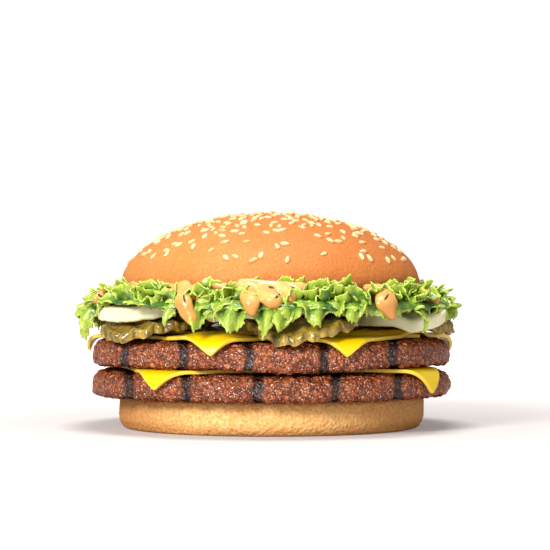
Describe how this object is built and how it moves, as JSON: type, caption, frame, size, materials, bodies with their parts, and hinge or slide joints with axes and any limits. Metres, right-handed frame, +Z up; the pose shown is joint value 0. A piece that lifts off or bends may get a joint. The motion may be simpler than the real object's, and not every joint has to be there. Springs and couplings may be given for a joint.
{
  "type": "double cheeseburger",
  "caption": "Stacked cheeseburger on a sesame seed bun, with grilled beef patties, melted cheese slices, crinkle-cut pickles, onion, ruffled lettuce and sauce.",
  "frame": {"origin": "centre of the heel's flat underside, on the plate", "axes": "+Z up through the stack, -Y towards the front shown in the picture, +X to the right of it"},
  "size_m": [0.143, 0.1433, 0.0776],
  "materials": {
    "heel_bread": "matt, fine-grained bread",
    "crown_bread": "satin, glazed crust with pale seeds",
    "beef": "moist, coarse minced meat with dark grill marks",
    "cheese": "smooth, slightly glossy",
    "pickle": "wet, slightly see-through",
    "onion": "wet, slightly see-through",
    "lettuce": "satin leaf",
    "sauce": "glossy, thick sauce"
  },
  "bodies": {
    "root": {"bun_heel": "heel_bread", "patty_lower": "beef", "patty_upper": "beef", "cheese_lower": "cheese", "cheese_upper_left": "cheese", "cheese_upper_right": "cheese", "pickle_1": "pickle", "pickle_2": "pickle", "pickle_3": "pickle", "pickle_4": "pickle", "pickle_5": "pickle", "pickle_6": "pickle", "onion_1": "onion", "onion_2": "onion", "onion_3": "onion", "onion_4": "onion", "onion_5": "onion", "lettuce_lower_1": "lettuce", "lettuce_lower_2": "lettuce", "lettuce_lower_3": "lettuce", "lettuce_lower_4": "lettuce", "lettuce_upper_1": "lettuce", "lettuce_upper_2": "lettuce", "lettuce_upper_3": "lettuce", "lettuce_upper_4": "lettuce", "lettuce_upper_5": "lettuce", "lettuce_upper_6": "lettuce", "sauce": "sauce", "bun_crown": "crown_bread"}
  },
  "joints": []
}
